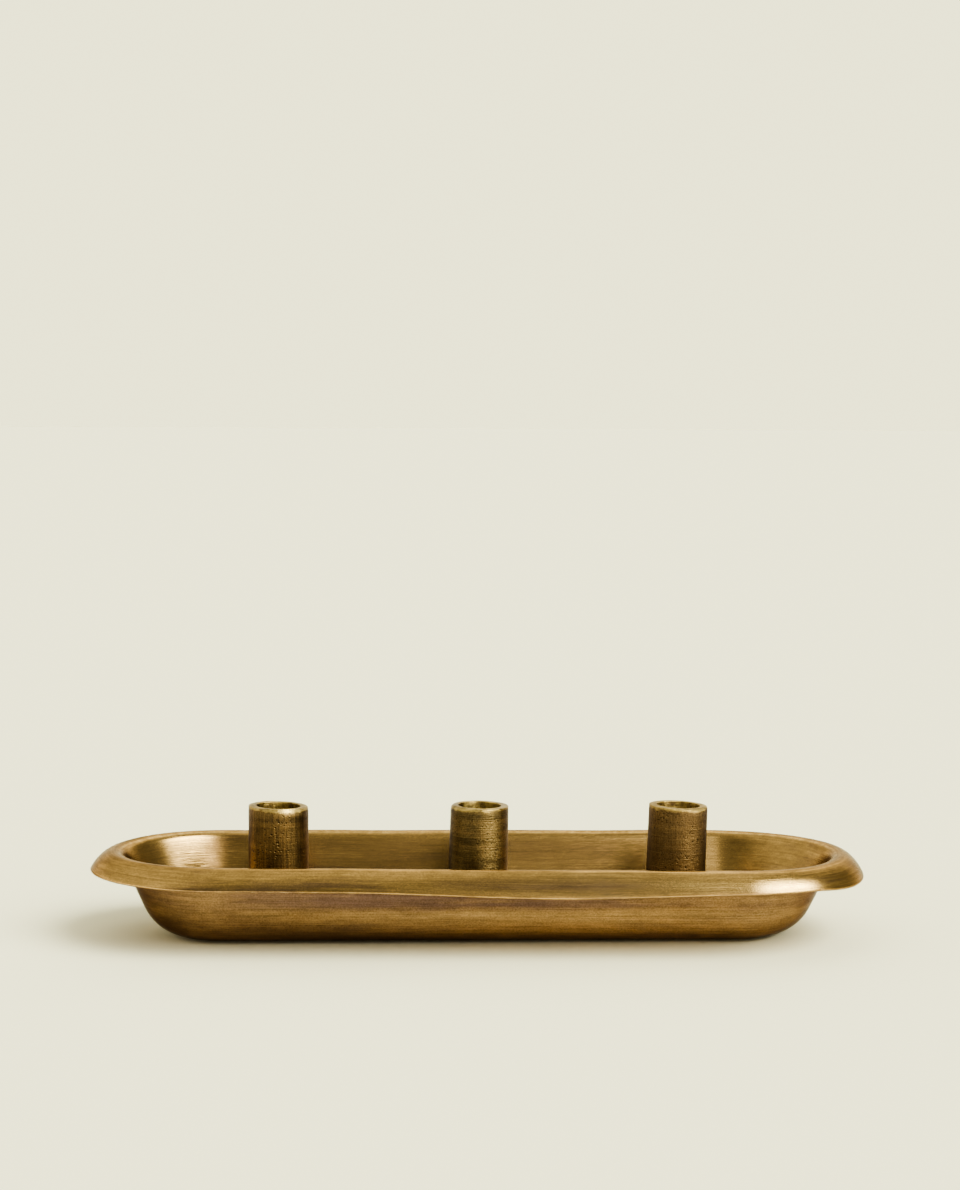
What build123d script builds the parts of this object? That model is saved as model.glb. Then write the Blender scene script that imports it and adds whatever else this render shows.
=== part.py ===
from build123d import *

import os
from math import cos, radians, sin

# Three-light candle tray: an oblong brass tray with a rolled-over rim and three upright candle sockets.
#
# The frame is +Z up and +X along the tray, with the origin on the surface that it stands on, under its middle.
# The tray is one pressed sheet. Each socket is a turned tube that holds a candle stop on an inner shoulder
# and has a threaded plug in its foot. A screw with two washers holds it down from a recess under the tray. One
# strip of felt closes the recesses, and the object stands on it. All sizes are in millimetres.

# ---- Tray: a constant section carried round a spine, which is a straight line with a half turn at each end
SPINE_HALF_LENGTH = 127.0
SHEET = 2.0
RIM_HEIGHT = 42.6  # top of the rolled rim above the surface it stands on
RIM_REACH = 56.5  # spine to the top of the rim
RIM_RADIUS = 5.5
WALL_LEAN = 28.0  # degrees from upright
FOOT_BEND_RADIUS = 24.0  # outside of the bend between wall and base
LIP_RADIUS = 22.0
LIP_START_SLOPE = 34.0  # degrees below level where the rim passes into the lip
LIP_END_SLOPE = 66.0  # degrees below level at the lip's edge
LIP_EDGE_ROUND = 0.7

# ---- Raised seats in the tray floor, one under each socket
SEAT_RISE = 5.5
SEAT_TOP_RADIUS = 15.8
SEAT_FOOT_RADIUS = 17.6
SPIGOT_HOLE_RADIUS = 4.6

# ---- Sockets
SOCKET_PITCH = 100.0
SOCKET_RADIUS = 15.0
SOCKET_TOP = 65.0
CUP_RADIUS = 11.0
CUP_DEPTH = 25.0
FOOT_BORE_RADIUS = 10.0
RIM_BREAK = 0.8
FOOT_BREAK = 0.4

# ---- Pieces inside and under each socket
STOP_RADIUS = 10.5
STOP_THICKNESS = 1.5
STOP_DRIP_RADIUS = 3.0
PLUG_THICKNESS = 8.0
SPIGOT_RADIUS = 4.5
SPIGOT_LENGTH = 1.6
THREAD_RADIUS = 2.5
SCREW_LENGTH = 10.0
SCREW_HEAD_RADIUS = 4.75
SCREW_HEAD_HEIGHT = 2.75
SCREW_KEY_WIDTH = 3.0
SCREW_KEY_DEPTH = 1.6
SCREW_TIP_BREAK = 0.5
SCREW_CROWN_SHARE = 0.8  # of the head's height that its rounded crown takes up
WASHER_HOLE_RADIUS = 2.65
FLAT_WASHER_RADIUS = 7.5
FLAT_WASHER_THICKNESS = 1.0
SPRING_WASHER_RADIUS = 4.4
SPRING_WASHER_THICKNESS = 1.2
SPRING_WASHER_GAP = 0.8
SPRING_WASHER_CUT_ANGLE = 25.0

# ---- Felt foot
FELT = 0.8
FELT_INSET = 1.5

# ---- Heights that follow from those
BASE_UNDERSIDE = FELT
FLOOR = BASE_UNDERSIDE + SHEET
SEAT_UNDERSIDE = BASE_UNDERSIDE + SEAT_RISE
SEAT_TOP = FLOOR + SEAT_RISE
STOP_TOP = SOCKET_TOP - CUP_DEPTH
SHOULDER = STOP_TOP - STOP_THICKNESS
SPRING_WASHER_TOP = SEAT_UNDERSIDE - FLAT_WASHER_THICKNESS
SCREW_SEAT = SPRING_WASHER_TOP - SPRING_WASHER_THICKNESS

SOCKET_PLACES = {"left": -SOCKET_PITCH, "centre": 0.0, "right": SOCKET_PITCH}


def on_arc(centre, radius, degrees):
    """The point of an arc at an angle from +X, as (reach, height)."""
    return (
        centre[0] + radius * cos(radians(degrees)),
        centre[1] + radius * sin(radians(degrees)),
    )


def arc(centre, radius, start, end):
    """The edge of an arc between two angles, drawn in the XZ plane."""
    points = [on_arc(centre, radius, a) for a in (start, (start + end) / 2, end)]
    return ThreePointArc(*[(x, 0, z) for x, z in points])


def line(start, end):
    """A straight edge in the XZ plane."""
    return Line((start[0], 0, start[1]), (end[0], 0, end[1]))


def section_centres():
    """The centres of the section's three bends, and the flat base's reach, which the wall's lean decides."""
    wall_normal = 180.0 - WALL_LEAN
    lip_start = 90.0 - LIP_START_SLOPE
    rim = (RIM_REACH, RIM_HEIGHT - RIM_RADIUS)
    lip = on_arc(on_arc(rim, RIM_RADIUS, lip_start), -LIP_RADIUS, lip_start)
    bend_height = BASE_UNDERSIDE + FOOT_BEND_RADIUS
    wall_top = on_arc(rim, RIM_RADIUS, wall_normal)
    inner_bend = FOOT_BEND_RADIUS - SHEET
    wall_foot_height = bend_height - inner_bend * sin(radians(WALL_LEAN))
    wall_run = (wall_top[1] - wall_foot_height) * sin(radians(WALL_LEAN)) / cos(radians(WALL_LEAN))
    base_reach = wall_top[0] - wall_run - inner_bend * cos(radians(WALL_LEAN))
    return rim, lip, (base_reach, bend_height), base_reach


def tray_section():
    """Half of the sheet's section, from the spine out to the lip, as a face in the XZ plane."""
    rim, lip, bend, base_reach = section_centres()
    wall_normal = 180.0 - WALL_LEAN
    lip_start = 90.0 - LIP_START_SLOPE
    lip_end = 90.0 - LIP_END_SLOPE
    bend_end = -WALL_LEAN
    rim_under = RIM_RADIUS - SHEET
    lip_under = LIP_RADIUS - SHEET
    bend_inside = FOOT_BEND_RADIUS - SHEET
    edges = [
        line((0, BASE_UNDERSIDE), (base_reach, BASE_UNDERSIDE)),
        arc(bend, FOOT_BEND_RADIUS, -90, bend_end),
        line(on_arc(bend, FOOT_BEND_RADIUS, bend_end), on_arc(rim, rim_under, wall_normal)),
        arc(rim, rim_under, wall_normal, lip_start),
        arc(lip, lip_under, lip_start, lip_end),
        line(on_arc(lip, lip_under, lip_end), on_arc(lip, LIP_RADIUS, lip_end)),
        arc(lip, LIP_RADIUS, lip_end, lip_start),
        arc(rim, RIM_RADIUS, lip_start, wall_normal),
        line(on_arc(rim, RIM_RADIUS, wall_normal), on_arc(bend, bend_inside, bend_end)),
        arc(bend, bend_inside, bend_end, -90),
        line((base_reach, FLOOR), (0, FLOOR)),
        line((0, FLOOR), (0, BASE_UNDERSIDE)),
    ]
    face = make_face(edges)
    lip_corners = face.vertices().sort_by(Axis.X)[-2:]
    return fillet(lip_corners, LIP_EDGE_ROUND)


def tray():
    """The pressed sheet: a straight run between two half turns, with a raised, pierced seat per socket."""
    section = tray_section()
    right_end = Pos(SPINE_HALF_LENGTH) * revolve(Rot(Z=-90) * section, Axis.Z, 180)
    left_end = Rot(Z=180) * right_end
    front = extrude(Rot(Z=-90) * section, SPINE_HALF_LENGTH, dir=(1, 0, 0), both=True)
    back = extrude(Rot(Z=90) * section, SPINE_HALF_LENGTH, dir=(1, 0, 0), both=True)
    shell = front + back + right_end + left_end
    for x in SOCKET_PLACES.values():
        seat = Cone(SEAT_FOOT_RADIUS, SEAT_TOP_RADIUS, SEAT_RISE)
        recess = Cone(SEAT_FOOT_RADIUS - SHEET, SEAT_TOP_RADIUS - SHEET, SEAT_RISE)
        shell += Pos(x, 0, FLOOR + SEAT_RISE / 2) * seat
        shell -= Pos(x, 0, BASE_UNDERSIDE + SEAT_RISE / 2) * recess
        shell -= upright(SPIGOT_HOLE_RADIUS, SEAT_UNDERSIDE, SEAT_TOP, x)
    return shell


def upright(radius, low, high, x):
    """A cylinder between two heights, on a socket's axis."""
    return Pos(x, 0, (low + high) / 2) * Cylinder(radius, high - low)


def socket(x):
    """A tube bored in three steps, for the plug, the candle stop and the candle, with its edges broken."""
    body = upright(SOCKET_RADIUS, SEAT_TOP, SOCKET_TOP, x)
    body -= upright(FOOT_BORE_RADIUS, SEAT_TOP, SHOULDER, x)
    body -= upright(STOP_RADIUS, SHOULDER, STOP_TOP, x)
    body -= upright(CUP_RADIUS, STOP_TOP, SOCKET_TOP, x)
    top_edges = body.edges().filter_by(GeomType.CIRCLE).group_by(Axis.Z)[-1]
    body = chamfer(top_edges, RIM_BREAK)
    outer_foot_edge = body.edges().filter_by(GeomType.CIRCLE).group_by(Axis.Z)[0].sort_by(SortBy.RADIUS)[-1]
    return chamfer(outer_foot_edge, FOOT_BREAK)


def candle_stop(x):
    """A disc with a drip hole, which rests on the socket's shoulder and carries the candle."""
    return upright(STOP_RADIUS, SHOULDER, STOP_TOP, x) - upright(STOP_DRIP_RADIUS, SHOULDER, STOP_TOP, x)


def socket_plug(x):
    """A disc brazed into the socket's foot, with a threaded hole and a spigot that centres it in the tray."""
    disc = upright(FOOT_BORE_RADIUS, SEAT_TOP, SEAT_TOP + PLUG_THICKNESS, x)
    spigot = upright(SPIGOT_RADIUS, SEAT_TOP - SPIGOT_LENGTH, SEAT_TOP, x)
    thread = upright(THREAD_RADIUS, SEAT_TOP - SPIGOT_LENGTH, SEAT_TOP + PLUG_THICKNESS, x)
    return disc + spigot - thread


def flat_washer(x):
    """A wide washer that spans the spigot hole under the seat."""
    disc = upright(FLAT_WASHER_RADIUS, SPRING_WASHER_TOP, SEAT_UNDERSIDE, x)
    return disc - upright(WASHER_HOLE_RADIUS, SPRING_WASHER_TOP, SEAT_UNDERSIDE, x)


def spring_washer(x):
    """A square-section ring with a slanting cut."""
    ring = upright(SPRING_WASHER_RADIUS, SCREW_SEAT, SPRING_WASHER_TOP, x)
    ring -= upright(WASHER_HOLE_RADIUS, SCREW_SEAT, SPRING_WASHER_TOP, x)
    middle = (SCREW_SEAT + SPRING_WASHER_TOP) / 2
    cut = Box(SPRING_WASHER_GAP, SPRING_WASHER_RADIUS, 3 * SPRING_WASHER_THICKNESS)
    cut_place = Pos(x, (SPRING_WASHER_RADIUS + THREAD_RADIUS) / 2, middle)
    return ring - cut_place * Rot(Y=SPRING_WASHER_CUT_ANGLE) * cut


def fixing_screw(x):
    """A button-head screw with a hexagon socket, head down, whose shank fills the plug's thread."""
    head_low = SCREW_SEAT - SCREW_HEAD_HEIGHT
    head = upright(SCREW_HEAD_RADIUS, head_low, SCREW_SEAT, x)
    rim = head.edges().filter_by(GeomType.CIRCLE).group_by(Axis.Z)[0]
    head = fillet(rim, SCREW_HEAD_HEIGHT * SCREW_CROWN_SHARE)
    shank = upright(THREAD_RADIUS, SCREW_SEAT, SCREW_SEAT + SCREW_LENGTH, x)
    tip = shank.edges().filter_by(GeomType.CIRCLE).group_by(Axis.Z)[-1]
    shank = chamfer(tip, SCREW_TIP_BREAK)
    key_outline = RegularPolygon(SCREW_KEY_WIDTH / 2, 6, major_radius=False)
    key = Pos(x, 0, head_low) * extrude(key_outline, SCREW_KEY_DEPTH)
    return head + shank - key


def base_felt():
    """A strip of felt glued to the flat of the base, over the three recesses."""
    reach = section_centres()[3] - FELT_INSET
    outline = SlotOverall(2 * (SPINE_HALF_LENGTH + reach), 2 * reach)
    return extrude(outline, FELT)


def main():
    os.makedirs("parts", exist_ok=True)
    pieces = {"tray": tray(), "base_felt": base_felt()}
    makers = (socket, candle_stop, socket_plug, flat_washer, spring_washer, fixing_screw)
    for side, x in SOCKET_PLACES.items():
        for make in makers:
            pieces[f"{make.__name__}_{side}"] = make(x)
    for name, shape in pieces.items():
        export_step(shape, f"parts/{name}.step")


main()
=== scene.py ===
from math import cos, exp, pi, radians, sin, sqrt, tan

import bmesh
import bpy
from mathutils import Matrix, Vector, geometry, noise


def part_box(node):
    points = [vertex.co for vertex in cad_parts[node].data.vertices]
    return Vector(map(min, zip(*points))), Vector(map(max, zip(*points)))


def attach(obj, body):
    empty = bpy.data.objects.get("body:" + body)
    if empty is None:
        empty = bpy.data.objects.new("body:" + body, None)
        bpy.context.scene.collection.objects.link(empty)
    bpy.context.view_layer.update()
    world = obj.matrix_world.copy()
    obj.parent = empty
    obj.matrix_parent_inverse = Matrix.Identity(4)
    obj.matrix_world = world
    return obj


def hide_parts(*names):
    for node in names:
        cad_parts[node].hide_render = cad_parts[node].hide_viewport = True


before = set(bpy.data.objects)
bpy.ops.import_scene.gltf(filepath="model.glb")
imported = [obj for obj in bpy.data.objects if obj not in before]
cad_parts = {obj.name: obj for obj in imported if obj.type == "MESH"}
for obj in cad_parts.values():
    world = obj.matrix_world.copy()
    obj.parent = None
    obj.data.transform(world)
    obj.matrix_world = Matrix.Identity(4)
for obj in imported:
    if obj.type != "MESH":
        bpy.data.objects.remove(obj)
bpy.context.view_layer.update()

MM = 0.001
SIDES = ("left", "centre", "right")

# ---- Tray section, as the CAD has it
TRAY_LOW, TRAY_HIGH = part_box("tray")
SPINE = TRAY_HIGH.x - TRAY_HIGH.y
SHEET = 2.0 * MM
RIM_TOP = TRAY_HIGH.z
RIM_REACH = 56.5 * MM
RIM_RADIUS = 5.5 * MM
WALL_LEAN = 28.0
FOOT_BEND_RADIUS = 24.0 * MM
LIP_RADIUS = 22.0 * MM
LIP_START_SLOPE = 34.0
LIP_END_SLOPE = 66.0
LIP_EDGE_ROUND = 0.7 * MM
UNDERSIDE = TRAY_LOW.z
FLOOR = UNDERSIDE + SHEET

# ---- Seats pressed into the tray floor
SOCKET_LOW, SOCKET_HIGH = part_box("socket_centre")
SEAT_TOP = SOCKET_LOW.z
SEAT_TOP_RADIUS = 15.8 * MM
SEAT_FOOT_RADIUS = 17.6 * MM
SEAT_BLEND = 0.5 * MM
SPIGOT_HOLE_RADIUS = 4.6 * MM

# ---- Sockets
SOCKET_RADIUS = (SOCKET_HIGH.x - SOCKET_LOW.x) / 2
SOCKET_TOP = SOCKET_HIGH.z
CUP_RADIUS = 11.0 * MM
STOP_LOW, STOP_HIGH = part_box("candle_stop_centre")
STOP_RADIUS = (STOP_HIGH.x - STOP_LOW.x) / 2
FOOT_BORE_RADIUS = 10.0 * MM
DRIP_HOLE_RADIUS = 3.0 * MM
AXES = {side: sum(corner.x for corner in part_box("socket_" + side)) / 2 for side in SIDES}

# ---- How finely the meshes are divided
SEAT_STEPS = 72
SOCKET_STEPS = 128
STOP_STEPS = 72
BEND_STEPS, WALL_STEPS, RIM_STEPS, LIP_STEPS = 14, 12, 14, 9
STRAIGHT_STATIONS, TURN_STATIONS = 120, 80
FLOOR_SPACING = 4.2 * MM
FLOOR_ROWS = 4

# ---- Photographed pose of the camera
EYE = Vector((-45.6, -1195.7, 259.2)) * MM
HEADING = -2.19
PITCH = -4.22
ROLL = 0.26
LENS = 72.6
SENSOR = 36.0
CLIP_NEAR, CLIP_FAR = 0.01, 100


# ================================================================= shapes


def arc(centre, radius, start, end, steps):
    """Points of an arc in a (reach, height) plane, between two angles in degrees."""
    angles = [radians(start + (end - start) * i / steps) for i in range(steps + 1)]
    return [(centre[0] + radius * cos(a), centre[1] + radius * sin(a)) for a in angles]


def at(centre, radius, degrees):
    """The point of an arc at one angle."""
    return arc(centre, radius, degrees, degrees, 1)[0]


def straight(start, end, steps):
    """Points between two others, without those two."""
    shares = [i / steps for i in range(1, steps)]
    return [tuple(a + (b - a) * t for a, b in zip(start, end)) for t in shares]


def smooth_step(low, high, value):
    """0 at low, 1 at high and smooth between them. Low may be the larger."""
    share = min(max((value - low) / (high - low), 0.0), 1.0)
    return share * share * (3 - 2 * share)


def bump_at(centre, width, value):
    """A bell of height 1."""
    return exp(-(((value - centre) / width) ** 2))


def wobble(point, size, seed):
    """Smooth noise from about -1 to 1, with features of the given size."""
    return noise.noise(Vector(point) / size + Vector((seed, 2.7 * seed, -seed)))


def section_centres():
    """The centres of the rim's, the lip's and the foot's bends, as (reach, height)."""
    wall_normal = 180 - WALL_LEAN
    lip_start = 90 - LIP_START_SLOPE
    rim = (RIM_REACH, RIM_TOP - RIM_RADIUS)
    lip = at(at(rim, RIM_RADIUS, lip_start), -LIP_RADIUS, lip_start)
    lean = radians(WALL_LEAN)
    bend_height = UNDERSIDE + FOOT_BEND_RADIUS
    inner_bend = FOOT_BEND_RADIUS - SHEET
    wall_top = at(rim, RIM_RADIUS, wall_normal)
    wall_foot_height = bend_height - inner_bend * sin(lean)
    base_reach = wall_top[0] - (wall_top[1] - wall_foot_height) * tan(lean) - inner_bend * cos(lean)
    return rim, lip, (base_reach, bend_height)


RIM_CENTRE, LIP_CENTRE, BEND_CENTRE = section_centres()
BASE_REACH = BEND_CENTRE[0]


def surface_line(depth):
    """One face of the sheet from the floor's edge to the lip. The upper is at depth 0, the lower at SHEET."""
    lip_start = 90 - LIP_START_SLOPE
    lip_end = 90 - LIP_END_SLOPE + LIP_EDGE_ROUND / LIP_RADIUS * 180 / pi
    wall = 180 - WALL_LEAN
    foot = arc(BEND_CENTRE, FOOT_BEND_RADIUS - SHEET + depth, -90, -WALL_LEAN, BEND_STEPS)
    rim = arc(RIM_CENTRE, RIM_RADIUS - depth, wall, lip_start, RIM_STEPS)
    lip = arc(LIP_CENTRE, LIP_RADIUS - depth, lip_start, lip_end, LIP_STEPS)
    return foot + straight(foot[-1], rim[0], WALL_STEPS) + rim + lip[1:]


def lip_edge():
    """The rounded edge of the sheet, from the upper face to the lower one."""
    end = 90 - LIP_END_SLOPE
    middle = at(LIP_CENTRE, LIP_RADIUS - SHEET / 2, end)
    inset = SHEET / 2 - LIP_EDGE_ROUND
    out = (cos(radians(end)), sin(radians(end)))
    along = (out[1], -out[0])
    points = []
    for side, start in ((1, 90), (-1, 0)):
        centre = (-LIP_EDGE_ROUND, side * inset)
        for s, h in arc(centre, LIP_EDGE_ROUND, start, start - 90, 4):
            reach = middle[0] + along[0] * s + out[0] * h
            height = middle[1] + along[1] * s + out[1] * h
            points.append((reach, height))
    return points[1:-1]


def stations():
    """Places round the tray: (spine x, outward heading in degrees, distance run at the rim)."""
    run, turn = 2 * SPINE, pi * RIM_REACH
    found = []
    for side in (1, -1):
        base = 0 if side == 1 else run + turn
        for i in range(STRAIGHT_STATIONS):
            share = i / STRAIGHT_STATIONS
            found.append((side * SPINE * (2 * share - 1), -90 * side, base + run * share))
        for i in range(TURN_STATIONS):
            share = i / TURN_STATIONS
            found.append((side * SPINE, -90 * side + 180 * share, base + run + turn * share))
    return found, 2 * (run + turn)


def front_lip_swell(x):
    """How far the front lip's edge stands above its nominal height. It dips right of the middle and at the
    right end."""
    dip = 2.9 * bump_at(40 * MM, 68 * MM, x)
    droop_at_end = 2.4 * smooth_step(158 * MM, 186 * MM, x)
    return (1.2 - dip - droop_at_end) * MM


def back_lip_swell(x):
    """The same for the back lip, which the photo hides."""
    dip = 1.5 * bump_at(-60 * MM, 50 * MM, x)
    crown = 0.9 * bump_at(95 * MM, 40 * MM, x)
    return (0.5 - dip + crown) * MM


def rolled_in(reach, z):
    """How far the wall's top and the rim's crest stand inside their nominal reach, to ease the rim's bend."""
    climb = min(max((z - 15 * MM) / (24 * MM), 0), 1)
    return 1.7 * MM * climb * smooth_step(63 * MM, 51 * MM, reach)


# How the rim was left by hand: its fall towards the right end, in metres to the metre; how much wider the
# tray grows towards that end, as a share to the metre; its unevenness in millimetres; and the parts of that
# which move the sheet up and along. The lip's swell grows as a power of the way from the crest to its edge.
RIM_FALL = 0.0052
RIM_SPREAD = 0.3
UNEVEN_BROAD, UNEVEN_FINE = 0.45, 0.03
UNEVEN_UP, UNEVEN_ALONG = 0.6, 0.5
LIP_SWELL_POWER = 1.6


def hand_worked(point, lip_share):
    """Moves a nominal point to where the hand-formed sheet has it. lip_share is 1 at the lip's edge."""
    x, y, z = point
    rise = max(z - FLOOR, 0) / (RIM_TOP - FLOOR)
    front = smooth_step(25 * MM, -25 * MM, y) if lip_share else 0
    swell = front * front_lip_swell(x) + (1 - front) * back_lip_swell(x)
    broad = UNEVEN_BROAD * wobble((x, y, z), 42 * MM, 3.1)
    fine = UNEVEN_FINE * wobble((x, y, z), 16 * MM, 8.4)
    uneven = (broad + fine) * MM * rise
    up = swell * lip_share - RIM_FALL * x * rise + UNEVEN_UP * uneven
    wider = y * (1 + RIM_SPREAD * x * rise)
    return Vector((x + UNEVEN_ALONG * uneven, wider + uneven, z + up))


def reach_from_spine(x, y):
    return sqrt(max(abs(x) - SPINE, 0) ** 2 + y * y)


def reach_from_seats(x, y):
    return min(sqrt((x - AXES[side]) ** 2 + y * y) for side in SIDES)


def circle(count):
    """Angles once round, from +X."""
    return [2 * pi * i / count for i in range(count)]


def fill_floor(bm, loop, z, hole_radius):
    """Fills the flat of the floor between the shell's inner loop and a ring round each seat."""
    rings = []
    for side in SIDES:
        centre = AXES[side]
        ring = [(centre + hole_radius * cos(t), hole_radius * sin(t)) for t in circle(SEAT_STEPS)]
        rings.append([bm.verts.new((x, y, z)) for x, y in ring])
    margin = 0.6 * FLOOR_SPACING
    half_columns = int((SPINE + BASE_REACH) / FLOOR_SPACING)
    inner = []
    for i in range(-half_columns, half_columns + 1):
        for j in range(-FLOOR_ROWS, FLOOR_ROWS + 1):
            x, y = (i + 0.5 * (j % 2)) * FLOOR_SPACING, j * FLOOR_SPACING
            inside = reach_from_spine(x, y) < BASE_REACH - margin
            if inside and reach_from_seats(x, y) > hole_radius + margin:
                inner.append(bm.verts.new((x, y, z)))
    verts = list(loop)
    edges = [(i, (i + 1) % len(loop)) for i in range(len(loop))]
    for ring in rings:
        base = len(verts)
        edges += [(base + i, base + (i + 1) % len(ring)) for i in range(len(ring))]
        verts += ring
    verts += inner
    flat = [Vector((v.co.x, v.co.y)) for v in verts]
    _, _, faces, origins, _, _ = geometry.delaunay_2d_cdt(flat, edges, [], 0, 1e-7)
    made = []
    for face in faces:
        corners = [verts[origins[i][0]] for i in face]
        middle = sum((c.co for c in corners), Vector()) / 3
        inside = reach_from_spine(middle.x, middle.y) < BASE_REACH
        if inside and reach_from_seats(middle.x, middle.y) > hole_radius * 0.999:
            made.append(bm.faces.new(corners))
    return rings, made


def seat_profile():
    """Half of a seat's section: up its upper face, in to the spigot hole, and back along its lower face."""
    crease = 0.12 * MM
    underside = SEAT_TOP - SHEET
    profile = [(SEAT_FOOT_RADIUS + crease, FLOOR + crease), (SEAT_FOOT_RADIUS - 0.15 * MM, FLOOR + 0.6 * MM)]
    profile += arc((SEAT_TOP_RADIUS - 0.3 * MM, SEAT_TOP - SEAT_BLEND), SEAT_BLEND, 18, 90, 4)
    profile += [(SOCKET_RADIUS - 0.6 * MM, SEAT_TOP), (SPIGOT_HOLE_RADIUS, SEAT_TOP)]
    return profile + [(SPIGOT_HOLE_RADIUS, underside), (SEAT_TOP_RADIUS - SHEET, underside)]


def bridge(bm, ring, radius, z, x):
    """Adds a ring of vertices and joins it to the last one."""
    following = [bm.verts.new((x + radius * cos(t), radius * sin(t), z)) for t in circle(len(ring))]
    return following, join(bm, ring, following)


def join(bm, ring, following):
    """Faces between two rings of as many vertices."""
    count = len(ring)
    return [
        bm.faces.new((ring[i], ring[(i + 1) % count], following[(i + 1) % count], following[i]))
        for i in range(count)
    ]


def finish_mesh(name, bm, materials):
    """Turns a bmesh into a smooth-shaded object with consistent outward normals."""
    bmesh.ops.recalc_face_normals(bm, faces=bm.faces)
    for face in bm.faces:
        face.smooth = True
    mesh = bpy.data.meshes.new(name)
    bm.to_mesh(mesh)
    bm.free()
    piece = bpy.data.objects.new(name, mesh)
    bpy.context.scene.collection.objects.link(piece)
    for material in materials:
        mesh.materials.append(material)
    return piece


def sharpen(piece, degrees):
    """Marks the edges where the surface turns sharply, so that their facets keep their own shading."""
    bm = bmesh.new()
    bm.from_mesh(piece.data)
    for edge in bm.edges:
        if len(edge.link_faces) == 2:
            edge.smooth = edge.calc_face_angle(0) < radians(degrees)
    bm.to_mesh(piece.data)
    bm.free()


def runs_along(line):
    """The length of a line up to each of its points."""
    runs = [0.0]
    for a, b in zip(line, line[1:]):
        runs.append(runs[-1] + sqrt((a[0] - b[0]) ** 2 + (a[1] - b[1]) ** 2))
    return runs


UPPER_LINE, EDGE_LINE, LOWER_LINE = surface_line(0), lip_edge(), surface_line(SHEET)[::-1]
WHOLE_LINE = UPPER_LINE + EDGE_LINE + LOWER_LINE
RING_PERIMETER = 4 * SPINE + 2 * pi * RIM_REACH

# Distances along the section from the floor's edge: to the top of the inner wall, to the smear on the lip,
# and on round the lip's edge to the top of the outer wall
INNER_WALL_RUN = runs_along(UPPER_LINE)[-LIP_STEPS - RIM_STEPS - 1]
SMEAR_RUN = runs_along(UPPER_LINE)[-1] - 4.5 * MM
WALL_TOP_RUN = runs_along(WHOLE_LINE)[len(UPPER_LINE) + len(EDGE_LINE) + LIP_STEPS + RIM_STEPS]

# How far each edge is made bright, from 0 to 1. On the tray's crest and lip edge this is partly wear and
# partly a painted highlight line; on the stops and the tubes' rims and cups it is wear.
CREST_WEAR_AND_HIGHLIGHT = 0.62
CREST_HIGHLIGHT_REACH, CREST_HIGHLIGHT_WIDTH = RIM_REACH - 2.4 * MM, 1.6 * MM
LIP_EDGE_WEAR_AND_HIGHLIGHT = 0.45
STOP_WEAR = 0.3
CUP_WEAR = 0.7


def make_tray(shell_brass, floor_brass):
    """One closed sheet: the section carried round the spine, and the floor with its three pressed seats."""
    upper, edge, line = UPPER_LINE, EDGE_LINE, WHOLE_LINE
    crest = max(range(len(upper)), key=lambda i: upper[i][1])
    across = runs_along(line)
    lip_length = across[len(upper)] - across[crest]
    bm = bmesh.new()
    ring_layer = bm.verts.layers.float_vector.new("ring")
    wear_and_highlight_layer = bm.verts.layers.float.new("wear_and_highlight")
    places, perimeter = stations()
    columns = []
    for spine_x, heading, run in places:
        out = Vector((cos(radians(heading)), sin(radians(heading)), 0))
        column = []
        for i, (reach, z) in enumerate(line):
            mirrored = i if i < len(upper) + len(edge) // 2 else len(line) - 1 - i
            past_crest = (across[mirrored] - across[crest]) / lip_length
            lip_share = min(max(past_crest, 0), 1) ** LIP_SWELL_POWER
            nominal = Vector((spine_x, 0, z)) + out * (reach - rolled_in(reach, z))
            vert = bm.verts.new(hand_worked(nominal, lip_share))
            turn = 2 * pi * run / perimeter
            vert[ring_layer] = (cos(turn), sin(turn), across[i])
            # The crest and the lip's edge get a bright line, partly wear and partly a painted highlight.
            if i < len(upper):
                vert[wear_and_highlight_layer] = CREST_WEAR_AND_HIGHLIGHT * bump_at(CREST_HIGHLIGHT_REACH, CREST_HIGHLIGHT_WIDTH, reach)
            elif i < len(upper) + len(edge):
                vert[wear_and_highlight_layer] = LIP_EDGE_WEAR_AND_HIGHLIGHT
            column.append(vert)
        columns.append(column)
    for a, b in zip(columns, columns[1:] + columns[:1]):
        for i in range(len(line) - 1):
            bm.faces.new((a[i], b[i], b[i + 1], a[i + 1]))
    top_hole, under_hole = SEAT_FOOT_RADIUS + 0.45 * MM, SEAT_FOOT_RADIUS - SHEET
    top_rings, floor_faces = fill_floor(bm, [c[0] for c in columns], FLOOR, top_hole)
    under_rings, under_faces = fill_floor(bm, [c[-1] for c in columns], UNDERSIDE, under_hole)
    floor_faces += under_faces
    for side, top_ring, under_ring in zip(SIDES, top_rings, under_rings):
        ring = top_ring
        for radius, z in seat_profile():
            ring, faces = bridge(bm, ring, radius, z, AXES[side])
            floor_faces += faces
        floor_faces += join(bm, ring, under_ring)
    for face in floor_faces:
        face.material_index = 1
    tray = finish_mesh("brass_tray", bm, [shell_brass, floor_brass])
    sharpen(tray, 50)
    return tray


def lathe(name, outline, x, material, shape, steps):
    """A closed outline turned round an upright axis at x. shape(radius, z, angle) gives each point and its
    wear."""
    bm = bmesh.new()
    wear_and_highlight_layer = bm.verts.layers.float.new("wear_and_highlight")
    rings = []
    for radius, z in outline:
        ring = []
        for angle in circle(steps):
            point, wear_and_highlight = shape(radius, z, angle)
            vert = bm.verts.new(Vector((x, 0, 0)) + point)
            vert[wear_and_highlight_layer] = wear_and_highlight
            ring.append(vert)
        rings.append(ring)
    for ring, following in zip(rings, rings[1:] + rings[:1]):
        join(bm, ring, following)
    piece = finish_mesh(name, bm, [material])
    sharpen(piece, 40)
    return piece


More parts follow.
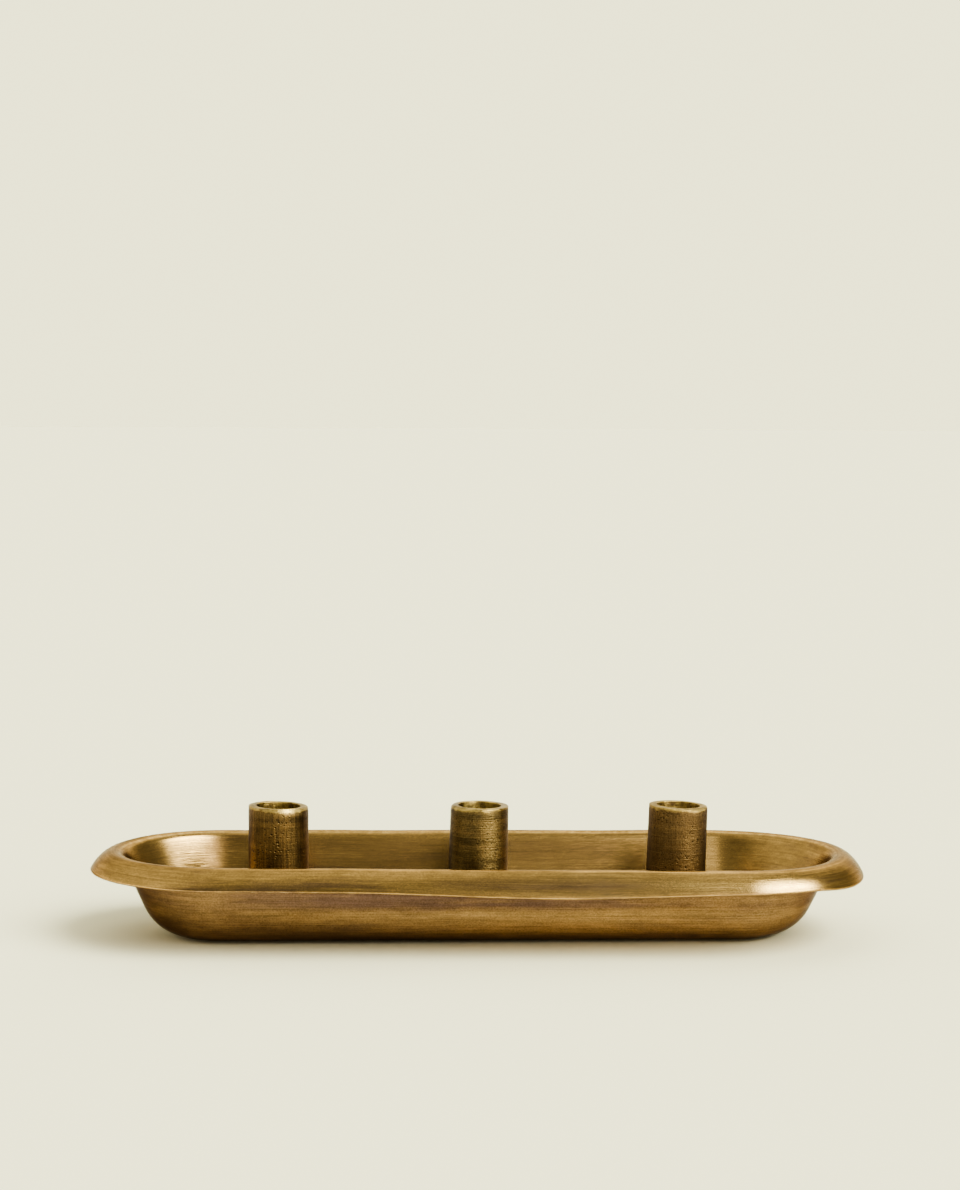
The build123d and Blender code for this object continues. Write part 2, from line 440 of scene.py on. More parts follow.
def socket_outline():
    """The tube's section: up the outside, over the rim, down the cup, and down the two steps of the bore."""
    foot_break, rim = 0.4 * MM, 0.35 * MM
    mouth = SOCKET_TOP - 1.0 * MM
    outside = [(SOCKET_RADIUS - foot_break, SEAT_TOP), (SOCKET_RADIUS, SEAT_TOP + foot_break)]
    wall = straight(outside[-1], (SOCKET_RADIUS, mouth), 36)
    crown = [(SOCKET_RADIUS, mouth + 0.4 * MM)]
    crown += arc((SOCKET_RADIUS - rim, SOCKET_TOP - rim), rim, 0, 90, 4)
    crown += straight(crown[-1], (CUP_RADIUS + rim, SOCKET_TOP), 4)
    crown += arc((CUP_RADIUS + rim, SOCKET_TOP - rim), rim, 90, 180, 4)
    cup_foot = (CUP_RADIUS, STOP_HIGH.z)
    cup = straight((CUP_RADIUS, SOCKET_TOP - rim), cup_foot, 14) + [cup_foot]
    steps = [(STOP_RADIUS, STOP_HIGH.z), (STOP_RADIUS, STOP_LOW.z), (FOOT_BORE_RADIUS, STOP_LOW.z)]
    return outside + wall + crown + cup + steps + [(FOOT_BORE_RADIUS, SEAT_TOP)]


# How each tube stands and how its rim was filed: its foot's shift and its taper in millimetres, lean and
# slope in degrees towards +X, then the outer chamfer's depth in millimetres, and the heading from +X and the
# spread in degrees of its widest place.
SOCKET_HAND = {
    "left": {
        "shift": -0.3,
        "taper": 0.0,
        "lean": -0.3,
        "slope": -2.0,
        "chamfer": 1.5,
        "heading": -62,
        "spread": 46,
    },
    "centre": {
        "shift": -0.6,
        "taper": 0.9,
        "lean": 1.0,
        "slope": -0.9,
        "chamfer": 0.7,
        "heading": -150,
        "spread": 60,
    },
    "right": {
        "shift": -0.8,
        "taper": 0.5,
        "lean": 1.6,
        "slope": -2.2,
        "chamfer": 1.1,
        "heading": -48,
        "spread": 24,
    },
}
SOCKET_SEED = {"left": 11.3, "centre": 27.9, "right": 41.2}


def leaning(hand, z):
    """How far towards +X a tube's axis stands at a height."""
    return hand["shift"] * MM + tan(radians(hand["lean"])) * (z - SEAT_TOP)


def turned_by_hand(hand, seed):
    """The shape function of one socket."""
    slack = 1e-6
    tool_depth, filing_depth = 0.03 * MM, 0.12 * MM

    def shape(radius, z, angle):
        """The chamfer takes the rim's outer edge down and in, and is ragged and widest on one side."""
        from_widest = (angle * 180 / pi - hand["heading"] + 180) % 360 - 180
        near_top = smooth_step(SOCKET_TOP - 3 * MM, SOCKET_TOP, z)
        outer = smooth_step(SOCKET_RADIUS - 2.2 * MM, SOCKET_RADIUS, radius)
        spot = (cos(angle) * SOCKET_RADIUS, sin(angle) * SOCKET_RADIUS, 0)
        ragged = 0.5 + 0.5 * wobble(spot, 4 * MM, seed)
        widening = 0.16 + bump_at(0, hand["spread"], from_widest)
        cut = hand["chamfer"] * MM * widening * (0.7 + 0.5 * ragged)
        drop = cut * outer * smooth_step(SOCKET_TOP - 1.3 * MM, SOCKET_TOP, z)
        pull = 0.55 * cut * outer * near_top
        tool = tool_depth * wobble((spot[0], spot[1], 2 * z), 9 * MM, seed + 5)
        real_radius = radius - pull + tool * (radius > CUP_RADIUS - slack)
        climb = (z - SEAT_TOP) / (SOCKET_TOP - SEAT_TOP)
        narrowing = 1 - hand["taper"] * MM * climb / (2 * SOCKET_RADIUS)
        x = real_radius * cos(angle) * narrowing + leaning(hand, z)
        level = tan(radians(hand["slope"])) * cos(angle) * radius * near_top
        filed = filing_depth * wobble(spot, 6 * MM, seed + 9) * near_top
        on_rim = smooth_step(SOCKET_TOP - 0.9 * MM - 1.1 * cut, SOCKET_TOP - 0.5 * MM, z)
        wear_and_highlight = on_rim if radius > CUP_RADIUS + slack else CUP_WEAR
        return Vector((x, real_radius * sin(angle), z - drop + level + filed)), wear_and_highlight

    return shape


def make_socket(side, material):
    shape = turned_by_hand(SOCKET_HAND[side], SOCKET_SEED[side])
    return lathe("socket_tube_" + side, socket_outline(), AXES[side], material, shape, SOCKET_STEPS)


def make_stop(side, material):
    """A thin turned disc, slightly dished, with a drip hole whose edge is rounded."""
    low, high = STOP_LOW.z, STOP_HIGH.z
    edge, dish_depth = 0.25 * MM, 0.3 * MM
    outline = arc((STOP_RADIUS - edge, high - edge), edge, 0, 90, 3)
    outline += straight(outline[-1], (DRIP_HOLE_RADIUS + edge, high), 6)
    outline += arc((DRIP_HOLE_RADIUS + edge, high - edge), edge, 90, 180, 3)
    outline += [(DRIP_HOLE_RADIUS, low), (STOP_RADIUS - edge, low), (STOP_RADIUS, low + edge)]
    lean = leaning(SOCKET_HAND[side], high)

    def shape(radius, z, angle):
        dish = dish_depth * (1 - (radius / STOP_RADIUS) ** 2) * (z > (low + high) / 2)
        return Vector((radius * cos(angle) + lean, radius * sin(angle), z - dish)), STOP_WEAR

    return lathe("stop_disc_" + side, outline, AXES[side], material, shape, STOP_STEPS)


def felt_places(reach, columns, end_columns):
    """Places along the felt, closer together near its round ends."""
    inner = reach * cos(pi * end_columns / columns)
    places = []
    for i in range(columns + 1):
        if end_columns <= i <= columns - end_columns:
            places.append(-inner + 2 * inner * (i - end_columns) / (columns - 2 * end_columns))
        else:
            places.append(-reach * cos(pi * i / columns))
    return places


def border(lines):
    """The points round a grid of lines, from the first line's start."""
    far_side = [line[-1] for line in lines[1:]]
    near_side = [line[0] for line in lines[-2:0:-1]]
    return lines[0] + far_side + lines[-1][-2::-1] + near_side


def make_felt(material):
    """A strip cut with scissors: a long slot shape with a slightly uneven edge and soft faces."""
    low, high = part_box("base_felt")
    half_width, spine = high.y, high.x - high.y
    columns, end_columns, rows = 220, 20, 16
    narrowest = 0.4 * MM
    bm = bmesh.new()
    top, bottom = [], []
    for x in felt_places(high.x, columns, end_columns):
        beyond = max(abs(x) - spine, 0)
        cut = 0.25 * MM * wobble((x, 0, 0), 7 * MM, 2.2)
        width = sqrt(max(half_width**2 - beyond**2, narrowest**2)) + cut
        for lines, z, sign in ((top, high.z, -1), (bottom, low.z, 1)):
            line = []
            for j in range(rows + 1):
                y = -width * cos(pi * j / rows)
                soft = 0.06 * MM * (1 + wobble((x, y, z), 3 * MM, 6.6)) * sign
                line.append(bm.verts.new((x, y, z + soft)))
            lines.append(line)
    for lines in (top, bottom):
        for a, b in zip(lines, lines[1:]):
            for j in range(rows):
                bm.faces.new((a[j], b[j], b[j + 1], a[j + 1]))
    join(bm, border(top), border(bottom))
    return finish_mesh("felt_foot", bm, [material])


# ================================================================= materials


def node(tree, kind, sockets=None, **settings):
    """Adds a shader node. A socket given as a value is linked, and anything else is set on the input."""
    made = tree.nodes.new("ShaderNode" + kind)
    for key, value in settings.items():
        setattr(made, key, value)
    for key, value in (sockets or {}).items():
        if isinstance(value, bpy.types.NodeSocket):
            tree.links.new(value, made.inputs[key])
        else:
            made.inputs[key].default_value = value
    return made


def noise_value(tree, vector, scale, detail=3.0, roughness=0.55):
    """Noise with so many features to the unit of the vector. Most of it lies between 0.3 and 0.7."""
    settings = {"Vector": vector, "Scale": scale, "Detail": detail, "Roughness": roughness}
    return node(tree, "TexNoise", settings).outputs["Fac"]


def stretched(tree, vector, scale):
    made = node(tree, "VectorMath", {0: vector, 1: scale}, operation="MULTIPLY")
    return made.outputs[0]


def remap(tree, value, low, high, to_low=0.0, to_high=1.0):
    """Carries low to to_low and high to to_high in a straight line, and holds those beyond them."""
    ends = {"Value": value, "From Min": low, "From Max": high, "To Min": to_low, "To Max": to_high}
    return node(tree, "MapRange", ends).outputs["Result"]


def times(tree, a, b):
    return node(tree, "Math", {0: a, 1: b}, operation="MULTIPLY").outputs[0]


def larger(tree, a, b):
    return node(tree, "Math", {0: a, 1: b}, operation="MAXIMUM").outputs[0]


def added(tree, a, b):
    return node(tree, "Math", {0: a, 1: b}, operation="ADD").outputs[0]


# Where a colour Mix node keeps its factor, its two colours and its result
MIX_SHARE, MIX_A, MIX_B, MIX_RESULT = 0, 6, 7, 2


def blend(tree, share, a, b, how="MIX"):
    """The colour a with a share of b blended in."""
    made = node(tree, "Mix", data_type="RGBA", blend_type=how)
    for index, value in ((MIX_SHARE, share), (MIX_A, a), (MIX_B, b)):
        if isinstance(value, bpy.types.NodeSocket):
            tree.links.new(value, made.inputs[index])
        else:
            made.inputs[index].default_value = (*value, 1) if isinstance(value, tuple) else value
    return made.outputs[MIX_RESULT]


def surface(name, metallic):
    """A new material with its node tree and its shader."""
    material = bpy.data.materials.new(name)
    material.use_nodes = True
    tree = material.node_tree
    shader = tree.nodes["Principled BSDF"]
    shader.inputs["Metallic"].default_value = metallic
    return material, tree, shader


def connect(tree, shader, colour, roughness, height=None, distance=0.0):
    """Links a surface's colour, its roughness and, where it has one, its relief, distance metres deep."""
    tree.links.new(colour, shader.inputs["Base Color"])
    tree.links.new(roughness, shader.inputs["Roughness"])
    if height is not None:
        bump = node(tree, "Bump", {"Height": height, "Distance": distance})
        tree.links.new(bump.outputs["Normal"], shader.inputs["Normal"])


# BRIGHT_BRASS also serves as painted light on the tray's front and as a painted highlight on its lip and
# edges. UMBER_BRASS also serves as painted shade on the tray's outer wall and foot, besides tarnish.
BRIGHT_BRASS = (0.76, 0.56, 0.35)
RUBBED_BRASS = (0.62, 0.46, 0.23)
GOLD_BRASS = (0.54, 0.362, 0.20)
AGED_BRASS = (0.34, 0.225, 0.125)
UMBER_BRASS = (0.20, 0.130, 0.082)
PURPLE_BRASS = (0.20, 0.130, 0.112)
PIT_BROWN = (0.050, 0.035, 0.023)

# The tint that each brass takes where it is seen edge on
SHELL_GRAZING = (0.50, 0.46, 0.46)
SOCKET_GRAZING = (0.47, 0.48, 0.60)
# Makes an anisotropic shader spread its reflections up and down a tube and not round it
QUARTER_TURN = 0.25


def own_place(tree):
    """The position in metres."""
    return node(tree, "TexCoord").outputs["Object"]


def attribute(tree, name, output="Vector"):
    return node(tree, "Attribute", attribute_name=name).outputs[output]


def weighted_sum(tree, *parts):
    """The sum of some fields, given as (weight, field) pairs."""
    total = None
    for weight, field in parts:
        scaled = times(tree, field, weight)
        total = scaled if total is None else added(tree, total, scaled)
    return total


def lacquer(shader, weight, roughness):
    """The thin clear coat that keeps polished brass from tarnishing further."""
    shader.inputs["Coat Weight"].default_value = weight
    shader.inputs["Coat Roughness"].default_value = roughness
    shader.inputs["Coat IOR"].default_value = 1.5


def brushed_brass(name, brushed, tarnish_and_painted_light=None, edges=False):
    """Aged brass that was brushed along one way. brushed(tree, along, across) gives a vector that has so many
    features to the metre along the brushing and across it. The third argument, where given, returns from the
    tree the shares that are painted bright, brown and purple, which are partly wear and tarnish and partly
    painted light and painted shade, and how strongly the brushing shows. edges says that edges are made
    bright: wear, and on the shell's crest and lip edge also a painted highlight."""
    material, tree, shader = surface(name, 1.0)
    here, contrast = own_place(tree), 1.0
    scratches = noise_value(tree, brushed(tree, 60, 3600), 1.0, 1.0, 0.5)
    hairlines = noise_value(tree, brushed(tree, 28, 1500), 1.0, 2.0, 0.6)
    threads = noise_value(tree, brushed(tree, 11, 800), 1.0, 3.0, 0.6)
    speck = noise_value(tree, here, 1300.0, 1.0, 0.5)
    mottle = noise_value(tree, brushed(tree, 110, 330), 1.0, 3.0, 0.6)
    cloud = noise_value(tree, stretched(tree, here, (15.0, 15.0, 42.0)), 1.0, 4.0, 0.6)
    stain = noise_value(tree, brushed(tree, 19, 120), 1.0, 4.0, 0.62)
    tone = weighted_sum(tree, (0.55, cloud), (0.25, mottle), (0.20, threads))
    colour = blend(tree, remap(tree, tone, 0.40, 0.60), AGED_BRASS, GOLD_BRASS)
    colour = blend(tree, remap(tree, stain, 0.55, 0.72, 0.0, 0.6), colour, PURPLE_BRASS)
    # The tray's shares: bright is painted light on the front and a painted highlight on the lip. Brown is
    # tarnish and painted shade on the outer wall and foot. Purple is patina and a smear.
    if tarnish_and_painted_light is not None:
        painted_bright, brown_and_shade, purple, contrast = tarnish_and_painted_light(tree)
        streaky = weighted_sum(tree, (0.6, stain), (0.4, threads))
        for share, tint in ((painted_bright, BRIGHT_BRASS), (brown_and_shade, UMBER_BRASS), (purple, PURPLE_BRASS)):
            ragged = times(tree, share, remap(tree, streaky, 0.36, 0.60, 0.45, 1.15))
            colour = blend(tree, ragged, colour, tint)
    dull = times(tree, remap(tree, threads, 0.44, 0.26, 0.0, 0.5), contrast)
    colour = blend(tree, dull, colour, UMBER_BRASS)
    shade = weighted_sum(tree, (0.45, hairlines), (0.4, speck), (0.15, mottle))
    colour = blend(tree, contrast, colour, remap(tree, shade, 0.36, 0.64, 0.68, 1.30), "MULTIPLY")
    haze = weighted_sum(tree, (0.5, mottle), (0.5, cloud))
    rough = remap(tree, haze, 0.35, 0.65, 0.25, 0.18)
    # Edges made bright: wear, and on the shell's crest and lip edge also a painted highlight line.
    if edges:
        nicks = noise_value(tree, here, 260.0, 3.0)
        edge_wear_and_highlight = weighted_sum(tree, (1.0, attribute(tree, "wear_and_highlight", "Fac")), (0.55, nicks))
        colour = blend(tree, remap(tree, edge_wear_and_highlight, 0.72, 1.15), colour, BRIGHT_BRASS)
    height = weighted_sum(tree, (0.50, scratches), (0.28, hairlines), (0.12, threads), (0.04, speck))
    connect(tree, shader, colour, rough, height, distance=0.12 * MM)
    shader.inputs["Specular Tint"].default_value = (*SHELL_GRAZING, 1)
    return material


def round_the_tray(tree, along, across):
    """Features brushed round the tray. The ring attribute turns once in a perimeter, and its third part is
    metres across the sheet."""
    turn = along * RING_PERIMETER / (2 * pi)
    return stretched(tree, attribute(tree, "ring"), (turn, turn, across))


def along_the_floor(tree, along, across):
    """Features brushed along the flat of the floor."""
    return stretched(tree, own_place(tree), (along, across, across))


def near_front(tree, ring, x, start, full):
    """A share from 0 to 1 that grows towards a place on the front, x along the tray, or round its right end
    where x is past the straight. It grows between two cosines of the turn from there, a whole turn being once
    round the tray."""
    turn = 2 * pi * (SPINE + x) / RING_PERIMETER
    facing = node(tree, "VectorMath", {0: ring, 1: (cos(turn), sin(turn), 0)}, operation="DOT_PRODUCT")
    return remap(tree, facing.outputs["Value"], start, full)


def between(tree, share, low, high):
    """low where a share is 0, and high where it is 1."""
    return remap(tree, share, 0.0, 1.0, low, high)


def band(tree, run, start, full_start, full_end, end):
    """1 between two runs across the sheet, fading to 0 on either side."""
    return times(tree, remap(tree, run, start, full_start), remap(tree, run, end, full_end))


def wear_and_painted_light(tree):
    """The shell's colour, as shares of bright, brown and purple, and how strongly its brushing shows. The
    front of the outer wall's belly is painted bright, painted light in place of light from the front, and a
    stretch of the lip towards the right is painted brighter as a painted highlight. The outer wall is brown
    away from its front, most at its ends and back, as painted shade, and its foot is darker, partly tarnish
    and partly a painted reflection of the shadow under the tray. The inner wall is tarnished brown, less at
    the right end, where the lighter colour is painted light that lifts the dark where the inner wall meets
    the rim. The strip that the lip shelters is purple, as is a smear along the lip. The brushing shows least
    on the inner wall."""
    ring = attribute(tree, "ring")
    run = node(tree, "SeparateXYZ", {0: ring}).outputs["Z"]
    wall, inner = WALL_TOP_RUN, INNER_WALL_RUN
    outside = remap(tree, run, wall - 8 * MM, wall)
    inside = remap(tree, run, inner + 3 * MM, inner - 3 * MM)

    # Painted light: the front of the outer wall's belly is painted bright, in place of light from the front.
    belly = band(tree, run, wall + 19 * MM, wall + 24 * MM, wall + 31 * MM, wall + 38 * MM)
    painted_bright = times(tree, belly, near_front(tree, ring, 45 * MM, 0.45, 0.95))
    lip = band(tree, run, SMEAR_RUN - 16 * MM, SMEAR_RUN - 8 * MM, SMEAR_RUN + 4 * MM, SMEAR_RUN + 6 * MM)
    # Painted highlight: the lip's outer face is painted brighter towards the right of the front.
    lip_highlight = between(tree, near_front(tree, ring, 85 * MM, 0.85, 0.99), 0.0, 0.20)
    bright = larger(tree, times(tree, painted_bright, 0.42), times(tree, lip, lip_highlight))

    # Painted shade: the outer wall is painted brown away from its front, most at its ends and back.
    ends = between(tree, near_front(tree, ring, 35 * MM, 0.50, 0.97), 0.82, 0.12)
    # The foot is darker, partly tarnish and partly a painted reflection of the shadow under the tray, most at
    # the front left.
    foot_shade_front = between(tree, near_front(tree, ring, -60 * MM, 0.4, 0.9), 0.2, 0.9)
    foot = times(tree, remap(tree, run, wall + 31 * MM, wall + 43 * MM), foot_shade_front)
    outside_shade_and_tarnish = times(tree, outside, larger(tree, ends, foot))
    # The inner wall's tarnish is lighter at the right end. This is painted light that lifts the dark where
    # the inner wall meets the rim.
    right_end_lift = near_front(tree, ring, 260 * MM, 0.70, 0.97)
    inside_tarnish_lifted_right = times(tree, inside, between(tree, right_end_lift, 0.55, 0.15))
    brown_and_shade = larger(tree, outside_shade_and_tarnish, inside_tarnish_lifted_right)

    under_lip = band(tree, run, wall - 8 * MM, wall, wall + 18 * MM, wall + 22.5 * MM)
    sheltered = times(tree, under_lip, between(tree, near_front(tree, ring, -20 * MM, 0.70, 0.93), 0.3, 1.0))
    smear_band = band(tree, run, SMEAR_RUN - 6 * MM, SMEAR_RUN, SMEAR_RUN, SMEAR_RUN + 3 * MM)
    smear_front = between(tree, near_front(tree, ring, 35 * MM, 0.90, 0.985), 0.0, 0.75)
    purple = larger(tree, sheltered, times(tree, smear_band, smear_front))

    beyond_inside = remap(tree, run, inner - 3 * MM, inner + 3 * MM, 0.45, 0.70)
    contrast = added(tree, beyond_inside, between(tree, outside, 0.0, 0.30))
    return bright, brown_and_shade, purple, contrast


def shell_brass():
    """The tray's wall, rim and lip, brushed round the tray."""
    return brushed_brass("brass_shell", round_the_tray, tarnish_and_painted_light=wear_and_painted_light, edges=True)


def floor_brass():
    """The tray's flat floor, brushed along it."""
    return brushed_brass("brass_floor", along_the_floor)


def turned_brass(name, seed, rings, drawn, pits, satin, spun, sheen, dark, light):
    """A tube darkened by age. rings is the strength of the lathe's marks, drawn that of the upright marks
    left when the tube was drawn, and pits the depth of corrosion. satin is its roughness where it is dull,
    spun is how far fine turning spreads its reflections up and down, and sheen is how much lacquer is left on
    it. dark and light are its colours."""
    material, tree, shader = surface(name, 1.0)
    place = node(tree, "VectorMath", {0: own_place(tree), 1: (seed, seed, seed)}, operation="ADD").outputs[0]
    ring_marks = noise_value(tree, stretched(tree, place, (18.0, 18.0, 2300.0)), 1.0, 3.0, 0.7)
    draw_marks = noise_value(tree, stretched(tree, place, (1500.0, 1500.0, 55.0)), 1.0, 3.0, 0.65)
    bands = noise_value(tree, stretched(tree, place, (30.0, 30.0, 330.0)), 1.0, 3.0)
    cloud = noise_value(tree, place, 75.0, 4.0, 0.6)
    grain = noise_value(tree, place, 1500.0, 2.0, 0.6)
    holes = node(tree, "TexVoronoi", {"Vector": place, "Scale": 620.0, "Randomness": 1.0}).outputs["Distance"]
    pitted = times(tree, remap(tree, holes, 0.34, 0.16), remap(tree, cloud, 0.44, 0.60))
    weights = (0.15, 0.15, 0.2 * rings, 0.3 * drawn)
    tone = weighted_sum(tree, *zip(weights, (cloud, bands, ring_marks, draw_marks)))
    middle = 0.5 * sum(weights)
    colour = blend(tree, remap(tree, tone, middle - 0.09, middle + 0.09), dark, light)
    colour = blend(tree, remap(tree, bands, 0.56, 0.74, 0.0, 0.35), colour, UMBER_BRASS)
    colour = blend(tree, 1.0, colour, remap(tree, grain, 0.30, 0.70, 0.75, 1.25), "MULTIPLY")
    colour = blend(tree, times(tree, pitted, 0.8), colour, PIT_BROWN)
    chips = noise_value(tree, place, 300.0, 4.0)
    chipped = weighted_sum(tree, (0.8, attribute(tree, "wear_and_highlight", "Fac")), (1.5, chips))
    colour = blend(tree, remap(tree, chipped, 1.10, 1.80), colour, RUBBED_BRASS)
    rough = remap(tree, cloud, 0.3, 0.7, satin, satin - 0.09)
    grooves = noise_value(tree, stretched(tree, place, (60.0, 60.0, 4200.0)), 1.0, 1.0)
    marks = weighted_sum(tree, (rings, ring_marks), (0.8 * rings, grooves), (0.6 * drawn, draw_marks))
    height = weighted_sum(tree, (1.0, marks), (0.35, grain), (-pits, pitted))
    connect(tree, shader, colour, rough, height, distance=0.30 * MM)
    shader.inputs["Specular Tint"].default_value = (*SOCKET_GRAZING, 1)
    shader.inputs["Anisotropic"].default_value = spun
    shader.inputs["Anisotropic Rotation"].default_value = QUARTER_TURN
    lacquer(shader, sheen, 0.35)
    return material


SOCKET_LOOK = {
    "left": {
        "rings": 0.3,
        "drawn": 0.8,
        "pits": 0.8,
        "satin": 0.42,
        "spun": 0.50,
        "sheen": 0.15,
        "dark": (0.044, 0.030, 0.020),
        "light": (0.24, 0.158, 0.086),
    },
    "centre": {
        "rings": 0.7,
        "drawn": 0.15,
        "pits": 0.2,
        "satin": 0.39,
        "spun": 0.85,
        "sheen": 0.12,
        "dark": (0.040, 0.030, 0.020),
        "light": (0.31, 0.222, 0.128),
    },
    "right": {
        "rings": 0.6,
        "drawn": 0.6,
        "pits": 0.5,
        "satin": 0.48,
        "spun": 0.1,
        "sheen": 0.05,
        "dark": (0.118, 0.077, 0.051),
        "light": (0.24, 0.162, 0.098),
    },
}


def plain_brass():
    """Unaged turned brass, for the stops and plugs."""
    material, tree, shader = surface("brass_inner", 1.0)
    place = own_place(tree)
    rings = noise_value(tree, stretched(tree, place, (60.0, 60.0, 2600.0)), 1.0, 2.0)
    cloud = noise_value(tree, place, 160.0, 4.0)
    colour = blend(tree, remap(tree, cloud, 0.35, 0.65), AGED_BRASS, GOLD_BRASS)
    connect(tree, shader, colour, remap(tree, rings, 0.3, 0.7, 0.28, 0.42), rings, distance=0.03 * MM)
    return material


def zinc_steel():
    """Zinc-plated steel, for the screws and washers."""
    material, tree, shader = surface("zinc_steel", 1.0)
    place = own_place(tree)
    crystals = noise_value(tree, place, 900.0, 3.0)
    stain = noise_value(tree, place, 260.0, 3.0)
    colour = blend(tree, remap(tree, stain, 0.35, 0.65), (0.42, 0.43, 0.44), (0.66, 0.66, 0.64))
    connect(tree, shader, colour, remap(tree, crystals, 0.3, 0.7, 0.26, 0.45), crystals, distance=0.02 * MM)
    return material


def wool_felt():
    """Dense dark felt with short crossing fibres."""
    material, tree, shader = surface("wool_felt", 0.0)
    place = own_place(tree)
    one_way = noise_value(tree, stretched(tree, place, (500.0, 3200.0, 900.0)), 1.0, 3.0)
    other_way = noise_value(tree, stretched(tree, place, (3200.0, 500.0, 900.0)), 1.0, 3.0)
    fibres = larger(tree, one_way, other_way)
    lint = noise_value(tree, place, 160.0, 4.0)
    colour = blend(tree, remap(tree, fibres, 0.45, 0.75), (0.030, 0.026, 0.023), (0.085, 0.074, 0.064))
    colour = blend(tree, remap(tree, lint, 0.5, 0.8, 0.0, 0.4), colour, (0.12, 0.105, 0.09))
    connect(tree, shader, colour, remap(tree, lint, 0.3, 0.7, 0.88, 0.98), fibres, distance=0.25 * MM)
    shader.inputs["Sheen Weight"].default_value = 0.4
    shader.inputs["Sheen Roughness"].default_value = 0.5
    return material


# ================================================================= stage

# The sky's brightness and colour: the room, the backdrop round its foot, and soft round patches on it. A
# patch is at an (azimuth, elevation), and has a (rim, core) in degrees from its middle. The backdrop gives
# way to the room between two heights on a sphere of radius 1.
WARM_WHITE = Vector((1.0, 0.98, 0.626))
ROOM = tuple(0.32 * WARM_WHITE)
BACKDROP = (1.424, 1.377, 0.885)
BACKDROP_TOP, ROOM_FOOT = 0.22, 0.36
BOUNCE_WALL = tuple(0.85 * WARM_WHITE)
BOUNCE_PLACE, BOUNCE_SIZE = (-130, 30), (80, 50)
BACK_WALL = tuple(1.7 * WARM_WHITE)
BACK_PLACE, BACK_SIZE = (161, 27), (36, 12)
FLAG = tuple(0.34 * WARM_WHITE)
FLAG_PLACE, FLAG_SIZE = (113, 24), (36, 10)
KEY_SPILL = (2.6, 2.45, 1.72)
SPILL_PLACE, SPILL_SIZE = (34, 26), (27, 8)
KEY = (9.5, 9.8, 6.6)
KEY_PLACE, KEY_SIZE = (58, 44), (30, 5)

PAPER = (0.895, 0.863, 0.848)
PAPER_MOTTLE = 0.008
PAPER_REACH = 60.0
PAPER_FIRST_RING = 0.4
PAPER_RINGS, PAPER_STEPS = 12, 64


def make_floor():
    """A plain sheet of pale paper that runs on to the horizon, where it meets a backdrop of its colour."""
    growth = PAPER_REACH / PAPER_FIRST_RING
    bm = bmesh.new()
    centre = bm.verts.new((0, 0, 0))
    rings = []
    for i in range(PAPER_RINGS):
        radius = PAPER_FIRST_RING * growth ** (i / (PAPER_RINGS - 1))
        rings.append([bm.verts.new((radius * cos(t), radius * sin(t), 0)) for t in circle(PAPER_STEPS)])
    for a, b in zip(rings[0], rings[0][1:] + rings[0][:1]):
        bm.faces.new((centre, a, b))
    for ring, following in zip(rings, rings[1:]):
        join(bm, ring, following)
    material, tree, shader = surface("paper", 0.0)
    fibre = noise_value(tree, own_place(tree), 900.0, 3.0)
    darker = tuple(c * (1 - PAPER_MOTTLE) for c in PAPER)
    lighter = tuple(c * (1 + PAPER_MOTTLE) for c in PAPER)
    colour = blend(tree, remap(tree, fibre, 0.3, 0.7), darker, lighter)
    connect(tree, shader, colour, remap(tree, fibre, 0.3, 0.7, 0.92, 1.0))
    shader.inputs["Specular IOR Level"].default_value = 0.0
    floor = finish_mesh("paper_floor", bm, [material])


def towards(azimuth, elevation):
    """A unit vector out from the tray. Azimuth 0 is the camera's side, and it turns towards +X."""
    a, e = radians(azimuth), radians(elevation)
    return Vector((sin(a) * cos(e), -cos(a) * cos(e), sin(e)))


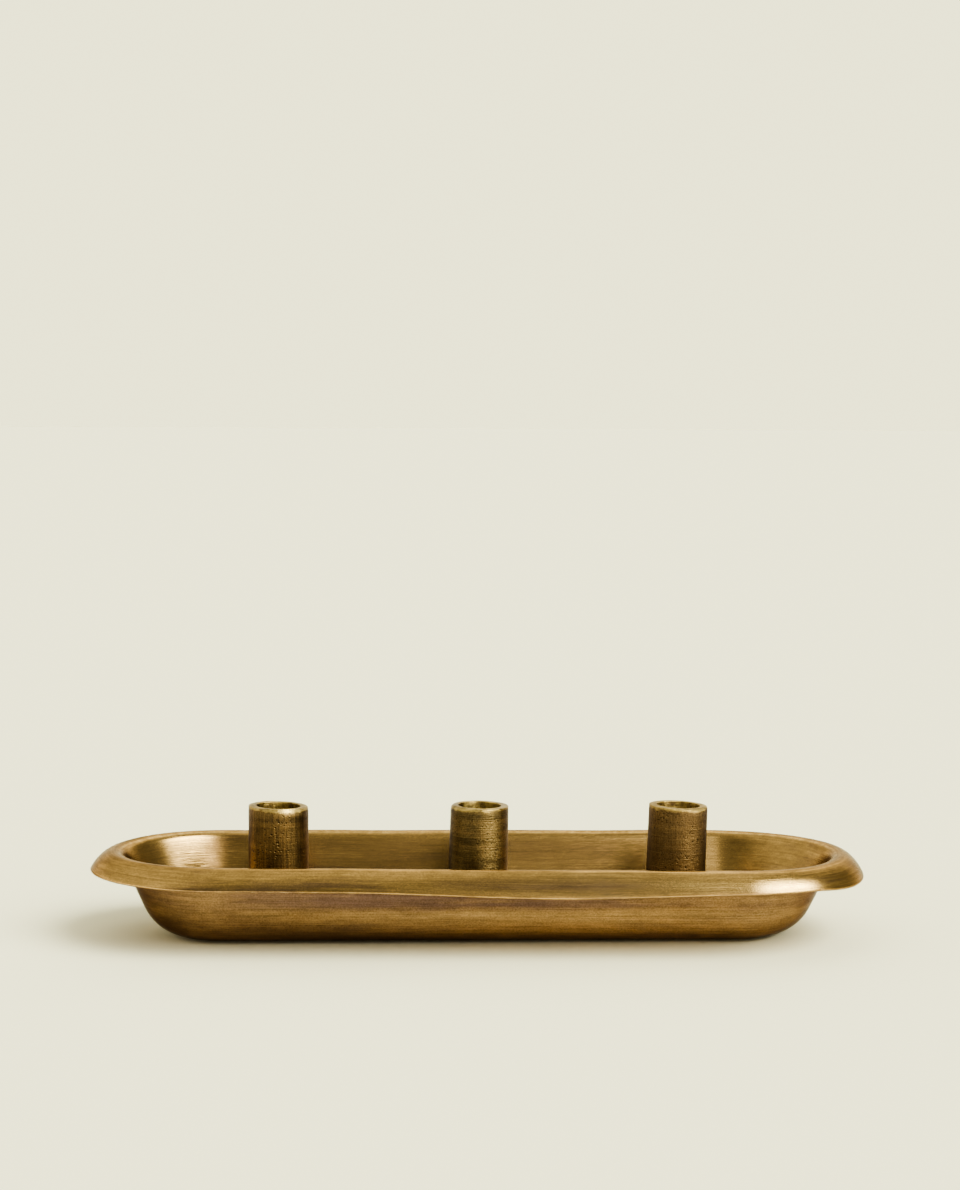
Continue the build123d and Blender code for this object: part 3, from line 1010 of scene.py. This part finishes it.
def make_studio():
    """All the light there is: a soft key high on the right of the camera with its spill below it, a pale
    backdrop round the horizon, bright walls on the left and behind, a dim room, and a dark flag on the
    right."""
    world = bpy.data.worlds.new("studio")
    bpy.context.scene.world = world
    world.use_nodes = True
    tree = world.node_tree
    direction = node(tree, "TexCoord").outputs["Generated"]
    height = node(tree, "SeparateXYZ", {0: direction}).outputs["Z"]

    def patch(place, size):
        """The share of a round patch on the sky: 1 inside its core, and 0 outside its rim."""
        rim, core = (cos(radians(degrees)) for degrees in size)
        facing = node(tree, "VectorMath", {0: direction, 1: towards(*place)}, operation="DOT_PRODUCT")
        ends = {"Value": facing.outputs["Value"], "From Min": rim, "From Max": core}
        return node(tree, "MapRange", ends, interpolation_type="SMOOTHSTEP").outputs["Result"]

    room = blend(tree, patch(BOUNCE_PLACE, BOUNCE_SIZE), ROOM, BOUNCE_WALL)
    room = blend(tree, patch(BACK_PLACE, BACK_SIZE), room, BACK_WALL)
    sky = blend(tree, remap(tree, height, BACKDROP_TOP, ROOM_FOOT), BACKDROP, room)
    sky = blend(tree, patch(FLAG_PLACE, FLAG_SIZE), sky, FLAG)
    sky = blend(tree, patch(SPILL_PLACE, SPILL_SIZE), sky, KEY_SPILL)
    sky = blend(tree, patch(KEY_PLACE, KEY_SIZE), sky, KEY)
    tree.links.new(sky, tree.nodes["Background"].inputs["Color"])


def make_camera():
    """A camera where the photo's was, by a fit of the tray's outlines."""
    data = bpy.data.cameras.new("camera")
    data.lens = LENS
    data.sensor_width = SENSOR
    data.clip_start, data.clip_end = CLIP_NEAR, CLIP_FAR
    camera = bpy.data.objects.new("camera", data)
    turn = Matrix.Rotation(radians(HEADING), 4, "Z")
    tip = Matrix.Rotation(radians(90 + PITCH), 4, "X")
    roll = Matrix.Rotation(radians(ROLL), 4, "Z")
    camera.matrix_world = Matrix.Translation(EYE) @ turn @ tip @ roll
    bpy.context.scene.collection.objects.link(camera)
    bpy.context.scene.camera = camera


# ================================================================= the object


def dress_fixings():
    """The CAD fixings keep their shapes and get their metals. The nodes that are replaced later get one too,
    which is not seen."""
    brass, steel = plain_brass(), zinc_steel()
    for name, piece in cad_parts.items():
        material = brass if name.startswith("socket_plug") else steel
        piece.data.materials.clear()
        piece.data.materials.append(material)


def build():
    dress_fixings()
    tray = make_tray(shell_brass(), floor_brass())
    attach(tray, "root")
    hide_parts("tray")
    inner = bpy.data.materials["brass_inner"]
    for side in SIDES:
        look = turned_brass("brass_turned_" + side, SOCKET_SEED[side], **SOCKET_LOOK[side])
        tube = make_socket(side, look)
        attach(tube, "root")
        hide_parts("socket_" + side)
        stop = make_stop(side, inner)
        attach(stop, "root")
        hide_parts("candle_stop_" + side)
    felt = make_felt(wool_felt())
    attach(felt, "root")
    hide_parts("base_felt")


build()
make_floor()
make_studio()
make_camera()
bpy.context.scene.view_settings.view_transform = "AgX"
bpy.context.scene.view_settings.look = "AgX - High Contrast"
